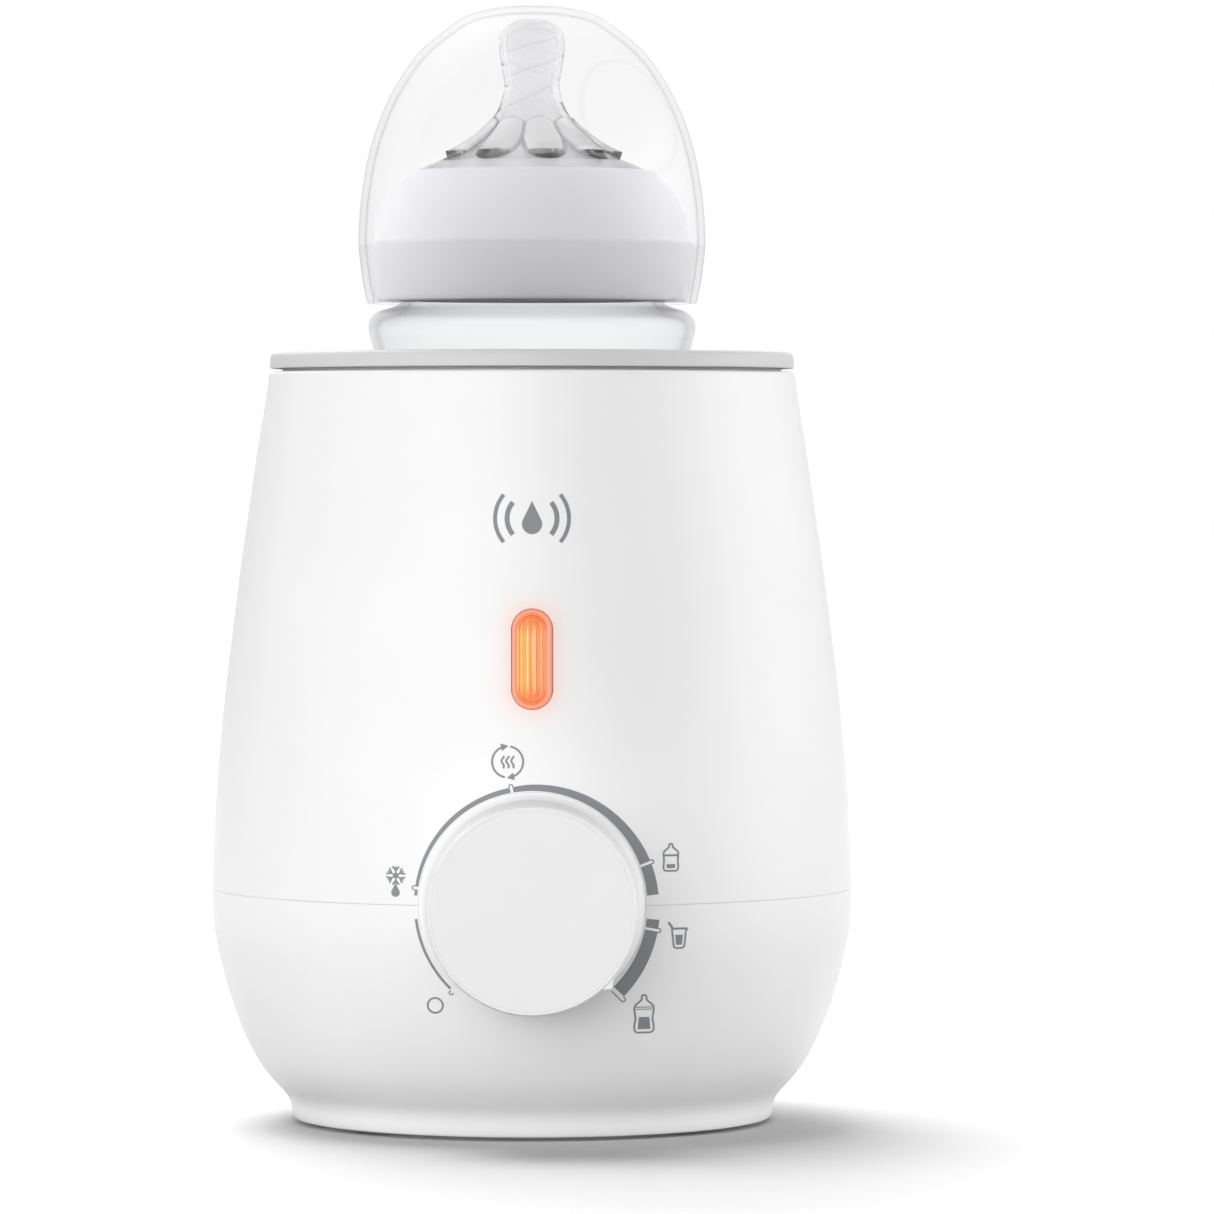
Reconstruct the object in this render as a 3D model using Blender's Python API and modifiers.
"""Baby-bottle warmer with a feeding bottle standing in its heating well.

A barrel-shaped two-part plastic housing on a narrow foot, a grey rim around the
well, a rotary control on the belt line and a capsule-shaped lamp above it.
Inside: heating well, heating plate, heater, thermostat with its shaft, lamp
board, mains lead and base plate.  The bottle is four pieces of its own.

Frame: +Z up, origin on the table in the middle of the foot, front towards -Y.
Dimensions below are millimetres; MM turns them into Blender metres.
"""
import math

import bmesh
import bpy
from mathutils import Matrix, Vector

MM = 0.001

# ----- driving dimensions -------------------------------------------------
BODY_HEIGHT = 160.0        # table to the top of the grey rim
BELT_RADIUS = 66.6         # widest radius of the barrel
BELT_Z = 46.0              # height of the widest radius
UPPER_DRAW_IN = 4.0        # barrel draws in this much over UPPER_SPAN above the belt
UPPER_SPAN = 54.0
UPPER_POWER = 1.57
LOWER_DRAW_IN = 12.9       # and this much over LOWER_SPAN below it
LOWER_SPAN = 37.6
SHELL_WALL = 2.2
SEAM_Z = 48.6              # joint line of the two housings, on the knob's axis
SEAM_GAP = 0.3
SHELL_TOP = 155.9
FOOT_RADIUS = 50.0
FOOT_EDGE_Z = 0.8          # foot ring stands this far off the table
CLEAR = 0.3                # usual gap between neighbouring pieces

KNOB_Z = SEAM_Z
BEZEL_FRONT = 67.6         # distances forward of the barrel's axis
BEZEL_FRONT_RADIUS = 21.9
BEZEL_BACK = 59.0
BEZEL_BACK_RADIUS = 23.7
KNOB_BACK = 68.1
KNOB_FRONT = 82.1
KNOB_BACK_RADIUS = 21.5
KNOB_FRONT_RADIUS = 20.5
POINTER_ANGLE = -45.0      # degrees, seen from the front; the full-power mark

LENS_Z = 97.9
LENS_WIDTH = 8.0
LENS_HEIGHT = 20.0
LENS_TILT = 6.8            # the barrel's wall leans back this much there

WELL_RADIUS_TOP = 38.6
WELL_RADIUS_BOTTOM = 37.4
WELL_TOP = 153.9
WELL_FLOOR = 50.0
WELL_WALL = 2.0
RIM_OPENING = 39.4

CORD_Z = 18.0
CORD_RADIUS = 3.0
BOOT_END = KNOB_FRONT      # strain relief reaches as far back as the knob does forward

BOTTLE_BASE = 49.3
NECK_TOP = 184.0
NECK_RADIUS = 27.0
NECK_BORE = 25.2
BOTTLE_WALL = 1.7
CAP_TOP = 231.9
CAP_WALL = 1.35

SCREW_CIRCLE = 43.5        # base screws
SCREW_ANGLES = (20.0, 160.0, 200.0, 340.0)
FOOT_PAD_CIRCLE = 41.0
FOOT_PAD_ANGLES = (45.0, 135.0, 225.0, 315.0)

BIG = 32                   # segments of the large turned shells
MID = 24
SMALL = 14

# ----- scene set-up ---------------------------------------------------------
for old in list(bpy.data.objects):
    bpy.data.objects.remove(old, do_unlink=True)

scene = bpy.context.scene
scene.unit_settings.system = "METRIC"
scene.unit_settings.scale_length = 1.0

parts = bpy.data.collections.new("bottle_warmer")
cutters = bpy.data.collections.new("cutters")
for collection in (parts, cutters):
    scene.collection.children.link(collection)


def material(name, colour, roughness=0.4, metallic=0.0, alpha=1.0):
    made = bpy.data.materials.get(name) or bpy.data.materials.new(name)
    made.use_nodes = True
    shader = made.node_tree.nodes["Principled BSDF"]
    shader.inputs["Base Color"].default_value = (*colour, 1.0)
    shader.inputs["Roughness"].default_value = roughness
    shader.inputs["Metallic"].default_value = metallic
    shader.inputs["Alpha"].default_value = alpha
    return made


WHITE = material("white_plastic", (0.86, 0.86, 0.86), 0.35)
GREY = material("grey_rim_plastic", (0.62, 0.62, 0.63), 0.4)
WELL = material("well_plastic", (0.80, 0.80, 0.81), 0.35)
STEEL = material("steel", (0.62, 0.62, 0.63), 0.3, 1.0)
BRASS = material("brass", (0.72, 0.55, 0.28), 0.35, 1.0)
ALUMINIUM = material("aluminium", (0.75, 0.76, 0.77), 0.35, 1.0)
SILICONE = material("seal_silicone", (0.75, 0.35, 0.25), 0.6)
PHENOLIC = material("phenolic", (0.16, 0.11, 0.08), 0.5)
CERAMIC = material("ceramic", (0.85, 0.83, 0.78), 0.4)
BOARD = material("circuit_board", (0.08, 0.30, 0.14), 0.5)
AMBER = material("amber_lens", (1.0, 0.38, 0.16), 0.25)
RUBBER = material("foot_rubber", (0.45, 0.45, 0.46), 0.8)
CORD = material("cord_sheath", (0.80, 0.80, 0.80), 0.6)
RED_LEAD = material("live_insulation", (0.40, 0.16, 0.07), 0.5)
BLUE_LEAD = material("neutral_insulation", (0.10, 0.22, 0.60), 0.5)
CLEAR_PLASTIC = material("clear_plastic", (0.93, 0.94, 0.95), 0.05, 0.0, 0.35)
TEAT_SILICONE = material("teat_silicone", (0.88, 0.89, 0.91), 0.25, 0.0, 0.6)
RING_WHITE = material("ring_plastic", (0.84, 0.84, 0.86), 0.25)


# ----- building helpers -------------------------------------------------------
def axis_empty(name, location, collection=None):
    """An empty on a joint's axis, which the pieces of that moving body hang from."""
    empty = bpy.data.objects.new(name, None)
    empty.empty_display_size = 0.02
    empty.location = [c * MM for c in location]
    (collection or parts).objects.link(empty)
    return empty


def hang(empty, *names):
    """Parents the named pieces to an empty without moving them."""
    bpy.context.view_layer.update()
    for name in names:
        piece = bpy.data.objects[name]
        piece.parent = empty
        piece.matrix_parent_inverse = empty.matrix_world.inverted()


def put(obj, collection=parts):
    for holder in list(obj.users_collection):
        holder.objects.unlink(obj)
    collection.objects.link(obj)
    return obj


def settle(obj, sharp=40.0):
    """Bakes the object's modifiers (or its curve) into a plain mesh and shades it."""
    bpy.context.view_layer.update()
    graph = bpy.context.evaluated_depsgraph_get()
    mesh = bpy.data.meshes.new_from_object(obj.evaluated_get(graph), depsgraph=graph)
    if obj.type == "CURVE":
        bm = bmesh.new()
        bm.from_mesh(mesh)
        bmesh.ops.remove_doubles(bm, verts=bm.verts, dist=1e-6)
        bmesh.ops.recalc_face_normals(bm, faces=bm.faces)
        bm.to_mesh(mesh)
        bm.free()
        baked = bpy.data.objects.new(obj.name + "_mesh", mesh)
        baked.matrix_world = obj.matrix_world.copy()
        name, finish = obj.name, obj.data.materials[0] if obj.data.materials else None
        holder = obj.users_collection[0]
        bpy.data.objects.remove(obj, do_unlink=True)
        baked.name = name
        holder.objects.link(baked)
        if finish and not mesh.materials:
            mesh.materials.append(finish)
        obj = baked
    else:
        obj.modifiers.clear()
        obj.data = mesh
    mesh.name = obj.name
    mesh.shade_smooth()
    mesh.set_sharp_from_angle(angle=math.radians(sharp))
    return obj


def turned(name, profile, finish, steps=MID, location=(0, 0, 0), rotation=(0, 0, 0),
           collection=parts):
    """Turns a profile of (radius, height) points about local Z.

    The profile runs down its outer side.  It is a closed loop when it keeps off
    the axis, and an open line from axis to axis when it starts and ends on it.
    """
    mesh = bpy.data.meshes.new(name)
    points = [(r * MM, 0.0, z * MM) for r, z in profile]
    edges = [(i, i + 1) for i in range(len(points) - 1)]
    if profile[0][0] > 0:
        edges.append((len(points) - 1, 0))
    mesh.from_pydata(points, edges, [])
    obj = put(bpy.data.objects.new(name, mesh), collection)
    screw = obj.modifiers.new("turn", "SCREW")
    screw.axis = "Z"
    screw.steps = screw.render_steps = steps
    screw.use_merge_vertices = True
    screw.merge_threshold = 1e-6
    screw.use_smooth_shade = True
    obj.location = [c * MM for c in location]
    obj.rotation_euler = [math.radians(a) for a in rotation]
    mesh.materials.append(finish)
    return settle(obj)


def block(name, low, high, finish, bevel=0.0, collection=parts):
    """A box between two corners, given in mm."""
    bpy.ops.mesh.primitive_cube_add(size=1.0)
    obj = put(bpy.context.active_object, collection)
    obj.name = name
    size = [(h - l) * MM for l, h in zip(low, high)]
    obj.data.transform(Matrix.Diagonal((*size, 1.0)))
    obj.location = [(h + l) / 2 * MM for l, h in zip(low, high)]
    obj.data.materials.append(finish)
    if bevel:
        edge = obj.modifiers.new("edges", "BEVEL")
        edge.width = bevel * MM
        edge.segments = 1
        edge.limit_method = "ANGLE"
        return settle(obj, 30)
    return settle(obj, 30)


def cylinder(name, radius, low, high, finish, location=(0, 0, 0), rotation=(0, 0, 0),
             sides=SMALL, radius_high=None, collection=parts):
    """A cylinder or cone along local Z between two heights, in mm."""
    bm = bmesh.new()
    bmesh.ops.create_cone(
        bm, cap_ends=True, segments=sides,
        radius1=radius * MM, radius2=(radius if radius_high is None else radius_high) * MM,
        depth=(high - low) * MM,
    )
    bmesh.ops.translate(bm, verts=bm.verts, vec=(0, 0, (high + low) / 2 * MM))
    mesh = bpy.data.meshes.new(name)
    bm.to_mesh(mesh)
    bm.free()
    obj = put(bpy.data.objects.new(name, mesh), collection)
    obj.location = [c * MM for c in location]
    obj.rotation_euler = [math.radians(a) for a in rotation]
    mesh.materials.append(finish)
    return settle(obj, 30)


def capsule(name, width, height, near, far, finish, location, rotation,
            collection=parts, hole=None):
    """A flat capsule outline extruded along local Z from `near` to `far`, in mm."""
    curve = bpy.data.curves.new(name, "CURVE")
    curve.dimensions = "2D"
    curve.fill_mode = "BOTH"
    curve.extrude = (far - near) / 2 * MM
    for w, h in [(width, height)] + ([hole] if hole else []):
        ring = curve.splines.new("POLY")
        radius = w / 2
        outline = []
        for centre, start in ((h / 2 - radius, 0), (-(h / 2 - radius), 180)):
            for i in range(9):
                angle = math.radians(start + 180 * i / 8)
                outline.append((radius * math.cos(angle), centre + radius * math.sin(angle)))
        ring.points.add(len(outline) - 1)
        for point, (x, y) in zip(ring.points, outline):
            point.co = (x * MM, y * MM, 0, 1)
        ring.use_cyclic_u = True
    curve.materials.append(finish)
    obj = put(bpy.data.objects.new(name, curve), collection)
    obj.rotation_euler = [math.radians(a) for a in rotation]
    bpy.context.view_layer.update()
    middle = obj.rotation_euler.to_matrix() @ Vector((0, 0, (near + far) / 2 * MM))
    obj.location = Vector([c * MM for c in location]) + middle
    return settle(obj, 30)


def boolean(obj, other, operation="DIFFERENCE"):
    cut = obj.modifiers.new(operation.lower(), "BOOLEAN")
    cut.operation = operation
    cut.solver = "EXACT"
    cut.object = other
    baked = settle(obj, 35)
    if operation == "UNION":
        bpy.data.objects.remove(other, do_unlink=True)
    else:
        other.hide_render = True
        other.display_type = "WIRE"
    return baked


def wire(name, points, radius, finish):
    """A round lead along straight runs between points, in mm."""
    curve = bpy.data.curves.new(name, "CURVE")
    curve.dimensions = "3D"
    curve.bevel_depth = radius * MM
    curve.bevel_resolution = 1
    curve.use_fill_caps = True
    line = curve.splines.new("POLY")
    line.points.add(len(points) - 1)
    for point, co in zip(line.points, points):
        point.co = (*[c * MM for c in co], 1)
    curve.materials.append(finish)
    return settle(put(bpy.data.objects.new(name, curve)))


def spline(stations, count):
    """A smooth line through stations of (radius, height), as `count` steps between each two."""
    ends = [stations[0]] + list(stations) + [stations[-1]]
    line = []
    for a, b, c, d in zip(ends, ends[1:], ends[2:], ends[3:]):
        for i in range(count):
            t = i / count
            line.append(tuple(
                0.5 * (2 * q + (r - p) * t + (2 * p - 5 * q + 4 * r - s) * t * t
                       + (3 * q - p - 3 * r + s) * t ** 3)
                for p, q, r, s in zip(a, b, c, d)
            ))
    return line + [tuple(stations[-1])]


def inwards(line, wall):
    """The same line moved square to itself, towards the axis, by a wall thickness."""
    moved = []
    for i, (r, z) in enumerate(line):
        before, after = line[max(i - 1, 0)], line[min(i + 1, len(line) - 1)]
        dr, dz = after[0] - before[0], after[1] - before[1]
        length = math.hypot(dr, dz)
        moved.append((max(r + wall * dz / length, 0.0), z - wall * dr / length))
    return moved


def around(radius, degrees):
    angle = math.radians(degrees)
    return radius * math.cos(angle), radius * math.sin(angle)


def barrel_radius(z):
    """Outer radius of the barrel at a height above the foot's fillet."""
    if z >= BELT_Z:
        return BELT_RADIUS - UPPER_DRAW_IN * ((z - BELT_Z) / UPPER_SPAN) ** UPPER_POWER
    return BELT_RADIUS - LOWER_DRAW_IN * ((BELT_Z - z) / LOWER_SPAN) ** 2


def heights(top, bottom, count):
    return [top + (bottom - top) * i / count for i in range(count + 1)]


# ----- housings ---------------------------------------------------------------
FORWARD = (90, 0, 0)       # turns local Z to the front (-Y) and local Y up
BACKWARD = (-90, 0, 0)     # turns local Z to the rear

seam_top = SEAM_Z + SEAM_GAP / 2
seam_bottom = SEAM_Z - SEAM_GAP / 2

upper_outside = [(barrel_radius(z), z) for z in heights(SHELL_TOP, seam_top, 6)]
upper_inside = [(barrel_radius(z) - SHELL_WALL, z) for z in heights(seam_top, 149.4, 4)]
upper_housing = turned(
    "upper_housing",
    upper_outside + upper_inside
    + [(43.0, 149.4), (43.0, 151.6), (barrel_radius(151.6) - SHELL_WALL, 151.6),
       (barrel_radius(SHELL_TOP) - 2.0, SHELL_TOP)],
    WHITE, BIG,
)

lower_outside = [(barrel_radius(z), z) for z in heights(seam_bottom, 8.4, 5)]
foot_fillet = [(51.7, 6.3), (50.4, 4.4)]
foot_edge = [(FOOT_RADIUS - 0.1, 1.2), (FOOT_RADIUS - 0.6, FOOT_EDGE_Z),
             (47.4, FOOT_EDGE_Z), (47.4, 5.4)]
lower_inside = [(barrel_radius(z) - SHELL_WALL - 0.2, z) for z in heights(9.6, 41.5, 3)]
tongue = [(62.5, 45.0), (62.5, 50.9), (63.9, 50.9), (63.9, seam_bottom)]
lower_housing = turned(
    "lower_housing",
    lower_outside + foot_fillet + foot_edge + lower_inside + tongue,
    WHITE, BIG,
)

# Screw bosses with a rib to the wall, moulded in one with the lower housing.
for degrees in SCREW_ANGLES:
    x, y = around(SCREW_CIRCLE, degrees)
    post = cylinder("boss", 3.4, 4.6, 15.0, WHITE, (x, y, 0), sides=12)
    lower_housing = boolean(lower_housing, post, "UNION")
    rib = block("rib", (SCREW_CIRCLE - 1, -1.1, 9.6), (53.4, 1.1, 13.4), WHITE)
    rib.rotation_euler = (0, 0, math.radians(degrees))
    middle = (SCREW_CIRCLE - 1 + 53.4) / 2
    rib.location = (*[c * MM for c in around(middle, degrees)], 11.5 * MM)
    lower_housing = boolean(lower_housing, rib, "UNION")
    pilot = cylinder("pilot", 1.6, 3.0, 13.0, WHITE, (x, y, 0), sides=10, collection=cutters)
    lower_housing = boolean(lower_housing, pilot)

# Round opening for the dial bezel, half in each housing.
dial_opening = cylinder(
    "dial_opening", BEZEL_BACK_RADIUS + 0.35 + 0.2093 * 9, BEZEL_BACK - 9, 76.0, WHITE,
    (0, 0, KNOB_Z), FORWARD, sides=BIG,
    radius_high=BEZEL_FRONT_RADIUS + 0.35 - 0.2093 * (76.0 - BEZEL_FRONT),
    collection=cutters,
)
upper_housing = boolean(upper_housing, dial_opening)
lower_housing = boolean(lower_housing, dial_opening)

# Capsule opening for the lamp, square to the leaning wall.
LENS_SEAT = (0, -barrel_radius(LENS_Z), LENS_Z)
LENS_FACING = (90 - LENS_TILT, 0, 0)
lamp_opening = capsule("lamp_opening", LENS_WIDTH + 0.7, LENS_HEIGHT + 0.7, -8, 8, WHITE,
                       LENS_SEAT, LENS_FACING, cutters)
upper_housing = boolean(upper_housing, lamp_opening)

# Hole for the mains lead's strain relief.
cord_opening = cylinder("cord_opening", 5.4, 45, 75, WHITE, (0, 0, CORD_Z), BACKWARD,
                        collection=cutters)
lower_housing = boolean(lower_housing, cord_opening)

# ----- rim, well and heating plate -----------------------------------------------
turned(
    "top_ring",
    [(41.6, 159.95), (53.4, BODY_HEIGHT), (54.1, 159.6), (54.35, 159.0), (54.6, 156.6),
     (54.5, 156.4), (51.9, 156.4), (51.9, 153.2), (50.4, 153.2), (50.4, 157.8),
     (41.4, 157.8), (41.4, 154.3), (RIM_OPENING, 154.3), (RIM_OPENING, 158.0), (40.1, 159.4)],
    GREY, BIG,
)

water_chamber = turned(
    "water_chamber",
    [(WELL_RADIUS_TOP, WELL_TOP), (46.5, WELL_TOP), (46.5, 151.9),
     (WELL_RADIUS_TOP + WELL_WALL, 151.9), (WELL_RADIUS_BOTTOM + WELL_WALL, WELL_FLOOR + 2.6),
     (46.5, WELL_FLOOR + 2.6), (46.5, WELL_FLOOR - 2.0), (29.5, WELL_FLOOR - 2.0),
     (29.5, WELL_FLOOR), (WELL_RADIUS_BOTTOM - 1.2, WELL_FLOOR),
     (WELL_RADIUS_BOTTOM, WELL_FLOOR + 1.2)],
    WELL, BIG,
)
# Flat on the bottom flange, which leaves room for the thermostat in front of the well.
thermostat_relief = block("thermostat_relief", (-13.5, -60, 30), (13.5, -39.7, 56), WELL,
                          collection=cutters)
water_chamber = boolean(water_chamber, thermostat_relief)

turned(
    "heating_plate",
    [(0, 49.0), (27.0, 49.0), (28.6, 48.1), (29.0, 46.1), (34.5, 46.1), (34.5, 44.8),
     (27.6, 44.8), (27.2, 47.7), (0, 47.7)],
    STEEL, MID,
)
turned("plate_gasket", [(30.0, 47.7), (34.3, 47.7), (34.3, 46.4), (30.0, 46.4)], SILICONE, MID)

plate_retainer = turned(
    "plate_retainer", [(31.5, 44.5), (46.5, 44.5), (46.5, 41.6), (31.5, 41.6)], ALUMINIUM, MID)
plate_retainer = boolean(plate_retainer, thermostat_relief)
RETAINER_SCREWS = (90.0, 210.0, 330.0)
for i, degrees in enumerate(RETAINER_SCREWS):
    x, y = around(43.0, degrees)
    hole = cylinder(f"retainer_hole_{i + 1}", 1.7, 35, 51.6, STEEL, (x, y, 0), sides=10,
                    collection=cutters)
    plate_retainer = boolean(plate_retainer, hole)
    water_chamber = boolean(water_chamber, hole)
    turned(f"retainer_screw_{i + 1}",
           [(0, 51.1), (1.3, 51.1), (1.3, 41.3), (2.8, 41.3), (2.8, 39.7), (2.0, 39.2), (0, 39.2)],
           STEEL, 12, (x, y, 0))

# ----- heater -------------------------------------------------------------------
block("ptc_heater", (-20, -11, 41.4), (20, 11, 47.4), ALUMINIUM, 0.6)
heater_clamp = block("heater_clamp", (-42, -5, 39.8), (42, 5, 41.1), STEEL, 0.3)
for i, side in enumerate((-1, 1)):
    hole = cylinder(f"clamp_hole_{i + 1}", 1.7, 35, 47, STEEL, (side * 38.5, 0, 0), sides=10,
                    collection=cutters)
    heater_clamp = boolean(heater_clamp, hole)
    plate_retainer = boolean(plate_retainer, hole)
    turned(f"strap_screw_{i + 1}",
           [(0, 44.1), (1.3, 44.1), (1.3, 39.5), (2.8, 39.5), (2.8, 37.9), (2.0, 37.4), (0, 37.4)],
           STEEL, 12, (side * 38.5, 0, 0))
cylinder("thermal_fuse", 2.0, -6.5, 6.5, CERAMIC, (0, 17.5, 42.9), (0, 90, 0), sides=12)

# ----- dial bezel, knob and thermostat, all on the knob's axis -----------------------
DIAL = (0, 0, KNOB_Z)
turned(
    "dial_bezel",
    [(4.8, BEZEL_FRONT), (BEZEL_FRONT_RADIUS - 0.5, BEZEL_FRONT),
     (BEZEL_FRONT_RADIUS + 0.05, BEZEL_FRONT - 0.4), (BEZEL_BACK_RADIUS, BEZEL_BACK),
     (BEZEL_BACK_RADIUS - 1.8, BEZEL_BACK), (BEZEL_FRONT_RADIUS - 1.6, BEZEL_FRONT - 2.2),
     (4.8, BEZEL_FRONT - 2.2)],
    WHITE, BIG, DIAL, FORWARD,
)

knob = turned(
    "knob",
    [(0, 81.75), (19.5, 81.75), (19.8, KNOB_FRONT), (20.2, KNOB_FRONT), (KNOB_FRONT_RADIUS, 81.6),
     (KNOB_BACK_RADIUS, KNOB_BACK), (KNOB_BACK_RADIUS - 2, KNOB_BACK), (18.7, 79.6), (6.5, 79.6),
     (6.5, 71.2), (3.3, 71.2), (3.3, 79.3), (0, 79.3)],
    WHITE, BIG, DIAL, FORWARD,
)
# Small raised pointer on the skirt.
pointer = block("pointer", (-1.7, -1.9, -5.4), (1.7, 1.9, 5.4), WHITE, 0.5)
px, pz = around(20.2, POINTER_ANGLE)
pointer.rotation_euler = (math.radians(90), 0, 0)
pointer.rotation_euler.rotate_axis("Z", math.radians(POINTER_ANGLE))
pointer.location = (px * MM, -75.6 * MM, (KNOB_Z + pz) * MM)
knob = boolean(knob, pointer, "UNION")

turned("knob_clip", [(6.9, 77.8), (7.6, 77.8), (7.6, 74.8), (6.9, 74.8)], STEEL, 20, DIAL, FORWARD)
turned("control_shaft",
       [(0, 79.0), (2.6, 79.0), (3.0, 78.6), (3.0, 51.0), (1.6, 51.0), (1.6, 57.0), (0, 57.0)],
       BRASS, 20, DIAL, FORWARD)
turned("thermostat_bush", [(3.3, 70.4), (4.4, 70.4), (4.4, 56.6), (3.3, 56.6)], BRASS, 20, DIAL,
       FORWARD)
bush_nut = cylinder("bush_nut", 6.0, 67.9, 70.2, STEEL, DIAL, FORWARD, sides=6)
nut_bore = cylinder("nut_bore", 4.7, 60, 75, STEEL, DIAL, FORWARD, collection=cutters)
bush_nut = boolean(bush_nut, nut_bore)
turned("adjuster_pin", [(0, 55.0), (1.0, 55.0), (1.25, 54.7), (1.25, 46.8), (0, 46.8)], CERAMIC,
       12, DIAL, FORWARD)

thermostat_body = block("thermostat_body", (-11, -56.3, 39.6), (11, -40.0, 55.6), PHENOLIC, 0.5)
pocket = block("thermostat_pocket", (-9, -54.3, 30.0), (9, -42.0, 53.6), PHENOLIC,
               collection=cutters)
thermostat_body = boolean(thermostat_body, pocket)
shaft_hole = cylinder("shaft_hole", 3.4, 50, 62, PHENOLIC, DIAL, FORWARD, collection=cutters)
thermostat_body = boolean(thermostat_body, shaft_hole)
block("contact_leaf", (-2.2, -46.4, 42.0), (2.2, -45.8, 53.2), BRASS)
block("terminal_line", (-8.4, -48.6, 33.0), (-3.4, -47.8, 46.0), BRASS)
block("terminal_load", (3.4, -48.6, 33.0), (8.4, -47.8, 46.0), BRASS)

# ----- lamp --------------------------------------------------------------------
capsule("indicator_lens", LENS_WIDTH, LENS_HEIGHT, -5.2, 0.35, AMBER, LENS_SEAT, LENS_FACING)
capsule("lamp_housing", 13.0, 25.0, -9.5, -3.4, WHITE, LENS_SEAT, LENS_FACING,
        hole=(LENS_WIDTH + 1.4, LENS_HEIGHT + 1.4))
lamp_depth = {"indicator_led": (-9.6, -7.4, 2.6, 2.6), "control_board": (-11.6, -10.0, 8.0, 15.0)}
for name, (near, far, half_wide, half_high) in lamp_depth.items():
    obj = block(name, (-half_wide, -half_high, near), (half_wide, half_high, far),
                CERAMIC if name == "indicator_led" else BOARD)
    obj.rotation_euler = [math.radians(a) for a in LENS_FACING]
    offset = obj.rotation_euler.to_matrix() @ Vector((0, 0, (near + far) / 2 * MM))
    obj.location = Vector([c * MM for c in LENS_SEAT]) + offset

# ----- base plate, screws and feet -----------------------------------------------
base_plate = turned("base_plate", [(0, 4.2), (46.6, 4.2), (46.9, 3.9), (46.9, 2.2), (0, 2.2)],
                    WHITE, BIG)
for i in range(5):
    y = (i - 2) * 6.5
    vent = block(f"vent_{i + 1}", (-13, y - 1.2, 0), (13, y + 1.2, 8), WHITE, collection=cutters)
    base_plate = boolean(base_plate, vent)
for i, degrees in enumerate(SCREW_ANGLES):
    x, y = around(SCREW_CIRCLE, degrees)
    hole = cylinder(f"base_hole_{i + 1}", 1.8, 0, 6, WHITE, (x, y, 0), sides=10,
                    collection=cutters)
    base_plate = boolean(base_plate, hole)
    screw = turned(f"base_screw_{i + 1}",
                   [(0, 12.4), (1.25, 12.0), (1.25, 1.9), (3.1, 1.9), (3.1, 1.1), (2.3, 0.6),
                    (0, 0.6)],
                   STEEL, 14, (x, y, 0))
    for j, (wide, deep) in enumerate(((1.7, 0.35), (0.35, 1.7))):
        slot = block(f"recess_{i + 1}_{j + 1}", (x - wide, y - deep, -1), (x + wide, y + deep, 1.35),
                     STEEL, collection=cutters)
        screw = boolean(screw, slot)
for i, degrees in enumerate(FOOT_PAD_ANGLES):
    x, y = around(FOOT_PAD_CIRCLE, degrees)
    turned(f"foot_pad_{i + 1}", [(0, 1.9), (4.9, 1.9), (5.2, 1.5), (5.2, 0.3), (4.9, 0), (0, 0)],
           RUBBER, 16, (x, y, 0))

# ----- mains lead inlet and internal leads -----------------------------------------
turned(
    "cord_grommet",
    [(3.3, BOOT_END), (4.0, BOOT_END), (4.4, 74.0), (5.0, 62.5), (5.0, 51.8), (7.2, 51.8),
     (7.2, 48.8), (3.3, 48.8)],
    CORD, 20, (0, 0, CORD_Z), BACKWARD,
)
cylinder("cord_stub", CORD_RADIUS, 36.0, BOOT_END - 0.2, CORD, (0, 0, CORD_Z), BACKWARD, sides=14)
cord_clamp = block("cord_clamp", (-10, 39.0, 4.6), (10, 44.0, 24.0), WHITE, 0.5)
cord_way = cylinder("cord_way", 3.4, 30, 50, WHITE, (0, 0, CORD_Z), BACKWARD, sides=14,
                    collection=cutters)
cord_clamp = boolean(cord_clamp, cord_way)
for i, x in enumerate((-7.0, 7.0)):
    hole = cylinder(f"clamp_pilot_{i + 1}", 1.6, 12, 30, STEEL, (x, 41.5, 0), sides=10,
                    collection=cutters)
    cord_clamp = boolean(cord_clamp, hole)
    turned(f"clamp_screw_{i + 1}",
           [(0, 26.0), (2.0, 26.0), (2.5, 25.4), (2.5, 24.3), (1.2, 24.3), (1.2, 13.0), (0, 13.0)],
           STEEL, 12, (x, 41.5, 0))

wire("live_lead", [(-1.4, 35.4, 18), (-8, 30, 14), (-17, 16, 12), (-18, -8, 14), (-12, -30, 18),
                   (-5.9, -44, 24), (-5.9, -48.2, 32.2)], 0.9, RED_LEAD)
wire("neutral_lead", [(1.4, 35.4, 18), (8, 31, 22), (16, 24, 32), (14, 18.5, 41), (7.5, 17.5, 42.9)],
     0.9, BLUE_LEAD)
wire("fuse_lead", [(-7.5, 17.5, 42.9), (-12, 16.5, 42.9), (-13, 12.6, 44.4)], 0.9, BLUE_LEAD)
wire("heater_lead", [(5.9, -48.2, 32.2), (5.9, -44, 26), (7, -32, 26), (9, -20, 31),
                     (9, -13.5, 38), (9, -12.6, 44.4)], 0.9, RED_LEAD)

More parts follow.
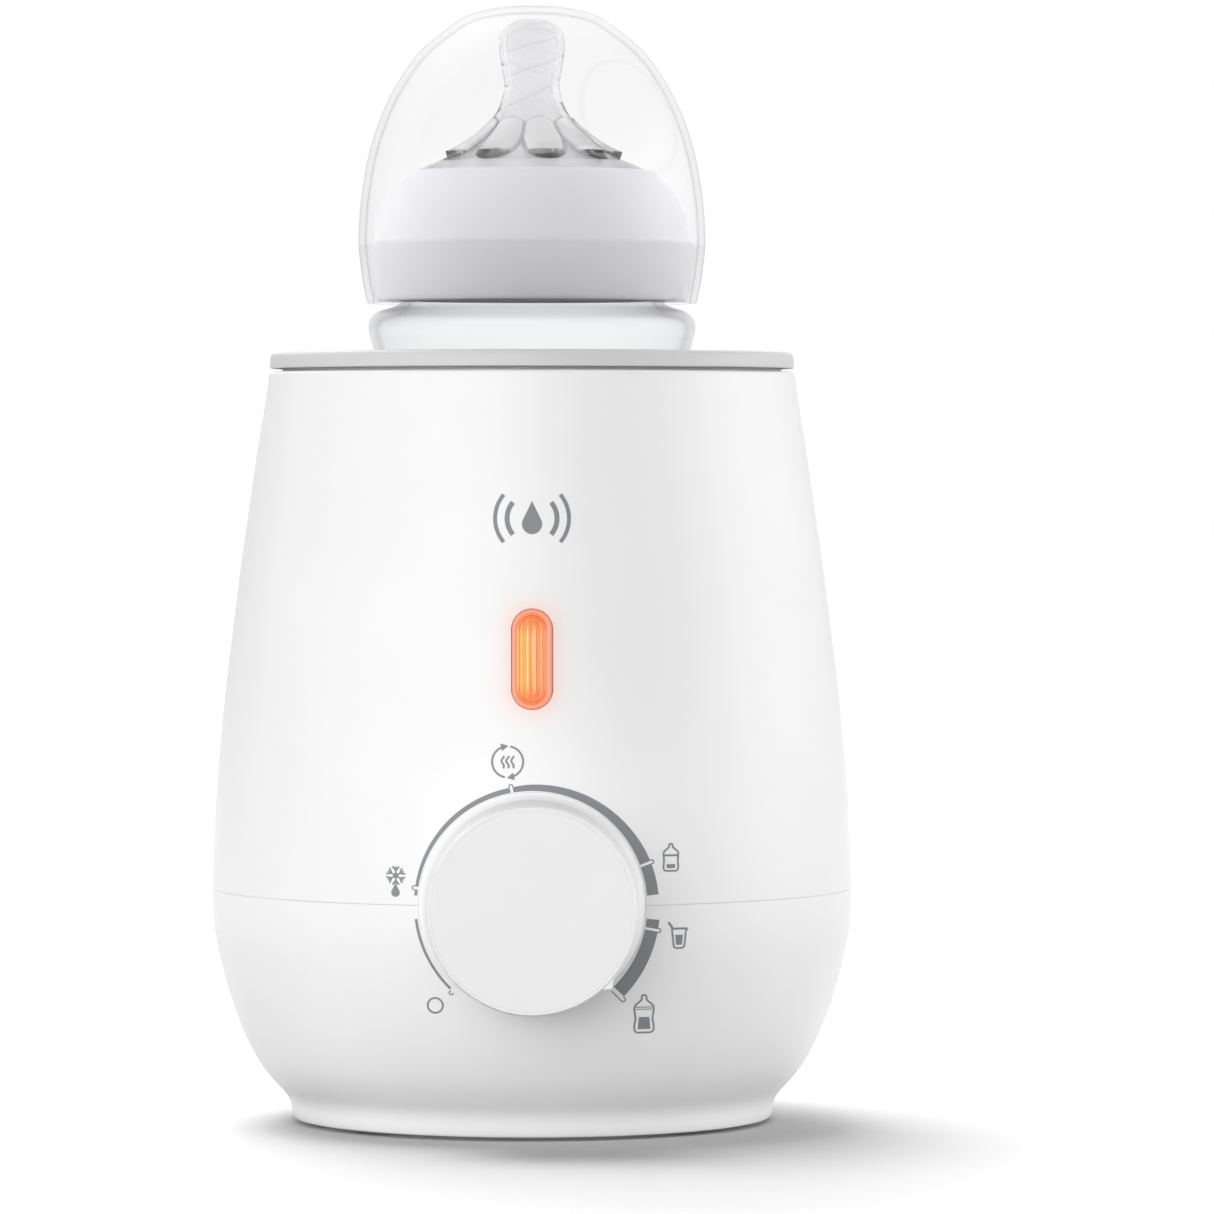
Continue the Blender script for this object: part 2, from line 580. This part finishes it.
# ----- feeding bottle --------------------------------------------------------------
bottle_outside = (
    [(NECK_RADIUS, NECK_TOP), (NECK_RADIUS, 171.4)]
    + spline([(27.4, 170.2), (31.8, 168.4), (33.9, 165.8), (33.0, 160.5)], 1)
    + spline([(31.4, 150.0), (29.3, 118.0), (31.2, 84.0), (32.5, 66.0)], 1)
    + [(32.0, 54.0), (30.0, 50.4), (27.6, BOTTLE_BASE), (25.6, 50.0), (0, 51.4)]
)
bottle_inside = [
    (0, 53.2), (27.0, 52.8), (29.6, 54.6), (30.7, 58.4), (30.8, 64.0), (29.5, 84.0),
    (27.6, 118.0), (29.7, 150.0), (31.3, 160.3), (31.9, 164.4), (30.2, 166.8),
    (NECK_BORE, 169.6), (NECK_BORE, NECK_TOP),
]
turned("bottle", bottle_inside + bottle_outside, CLEAR_PLASTIC, MID)

turned(
    "screw_ring",
    spline([(25.2, 197.7), (28.8, 194.2), (31.7, 189.8), (32.9, 183.6)], 1)
    + [(33.2, 182.8), (32.7, 176.8), (31.9, 170.6), (28.3, 170.6), (28.3, 186.6), (24.7, 186.6),
       (24.7, 197.3)],
    RING_WHITE, MID,
)

teat_outside = spline(
    [(0, 229.2), (3.6, 228.8), (6.3, 227.0), (6.7, 225.0), (5.4, 217.0), (7.0, 211.6),
     (10.6, 206.2), (19.6, 200.4), (24.1, 197.9)], 1)
teat_inside = [(22.4, 184.4), (22.4, 196.2), (18.6, 199.0), (10.2, 204.6), (6.4, 209.0),
               (4.6, 212.6), (4.0, 216.8), (5.0, 222.0), (5.2, 224.6), (4.2, 226.6), (0, 227.6)]
turned("teat",
       teat_outside + [(24.2, 196.6), (24.2, 186.3), (27.6, 186.3), (27.6, 184.4)] + teat_inside,
       TEAT_SILICONE, 20)

dome = spline([(0, CAP_TOP), (10.0, 231.1), (18.3, 226.9), (25.2, 220.2), (30.4, 211.8),
               (33.6, 203.0), (35.5, 193.0), (36.1, 185.5), (35.8, 179.5), (34.7, 171.2)], 1)
dome_inner = inwards(dome[1:], CAP_WALL)
turned("dome_cap",
       dome + [(34.2, 170.2), (33.4, 170.2)] + dome_inner[::-1] + [(0, CAP_TOP - CAP_WALL)],
       CLEAR_PLASTIC, MID)

# ----- moving bodies ----------------------------------------------------------------
hang(axis_empty("dial_axis", DIAL), "knob", "knob_clip", "control_shaft")
hang(axis_empty("bottle_axis", (0, 0, BOTTLE_BASE)), "bottle", "teat", "screw_ring", "dome_cap")
